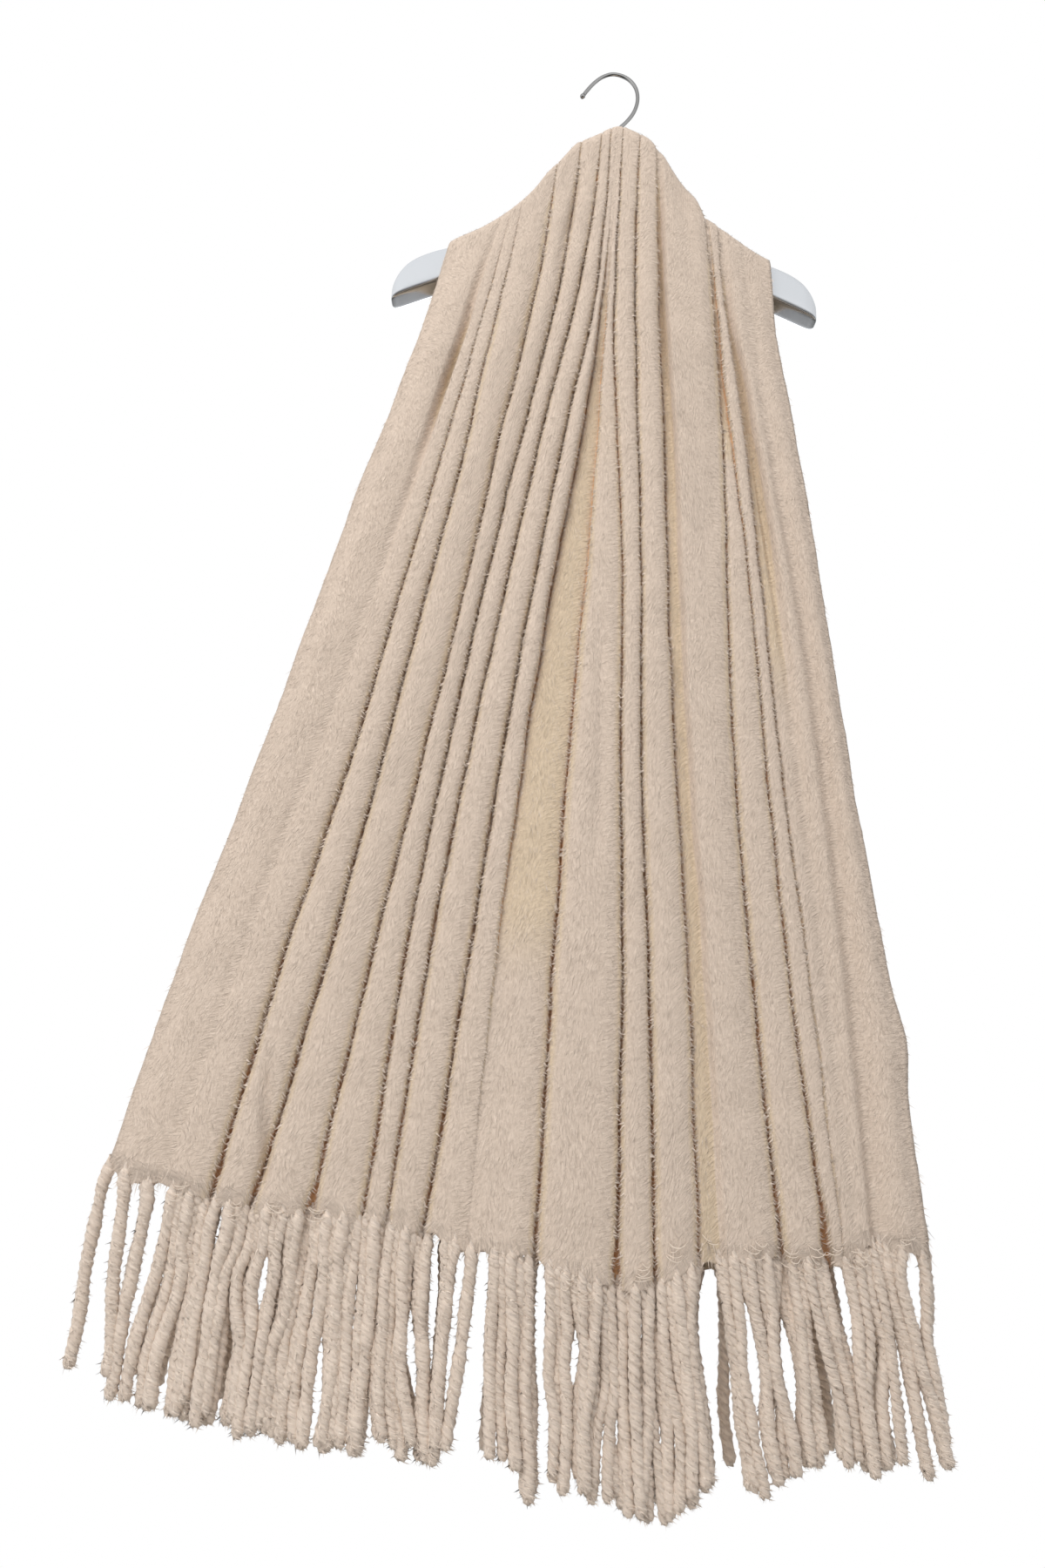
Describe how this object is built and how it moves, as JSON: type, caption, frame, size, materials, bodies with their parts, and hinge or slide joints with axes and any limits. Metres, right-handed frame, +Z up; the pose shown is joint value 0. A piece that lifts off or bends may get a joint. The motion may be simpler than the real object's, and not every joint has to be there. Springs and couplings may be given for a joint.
{
  "type": "tassel scarf on a hanger",
  "caption": "Long brushed scarf with twisted tassels at both ends, hung in deep fanned pleats over a coat hanger with a wire hook.",
  "frame": {"origin": "inner top of the hook, where a rail carries the hanger", "axes": "+Z up, -Y the front of the hung scarf, +X to the right of someone who looks at the front"},
  "size_m": [0.6213, 0.0672, 1.2314],
  "materials": {
    "brushed_cloth": "long brushed nap, matt",
    "twisted_tassels": "two-ply twisted fuzzy yarn",
    "silver_lacquer": "glossy silver lacquer",
    "polished_wire": "polished"
  },
  "bodies": {
    "root": {"front_fall": "brushed_cloth", "back_fall": "brushed_cloth", "front_fringe": "twisted_tassels", "back_fringe": "twisted_tassels", "hanger_arms": "silver_lacquer", "hook": "polished_wire"}
  },
  "joints": []
}
